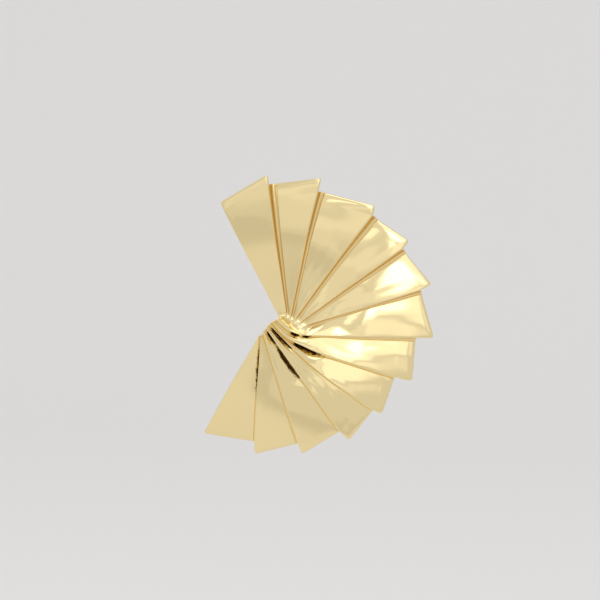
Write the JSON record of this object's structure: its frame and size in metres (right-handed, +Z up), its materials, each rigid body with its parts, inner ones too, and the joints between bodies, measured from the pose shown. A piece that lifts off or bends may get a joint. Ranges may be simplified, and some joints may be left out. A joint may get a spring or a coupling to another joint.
{
  "type": "fan earring",
  "caption": "Large stud earring: a gold-coloured cast fan of stepped pleats gathered at one side, on a straight ear post.",
  "frame": {"origin": "on the post's axis, where the front of the ear lobe rests against the boss behind the fan", "axes": "+Z up as worn, +Y from the fan into the ear along the post, +X to the right for someone who faces the fan"},
  "size_m": [0.048, 0.0153, 0.0574],
  "materials": {
    "fan_gold": "pale champagne gold plating, polished, with the slight waviness of a casting",
    "post_steel": "plain surgical steel, fine drawn finish"
  },
  "bodies": {
    "root": {"fan_plate": "fan_gold", "ear_post": "post_steel"}
  },
  "joints": []
}
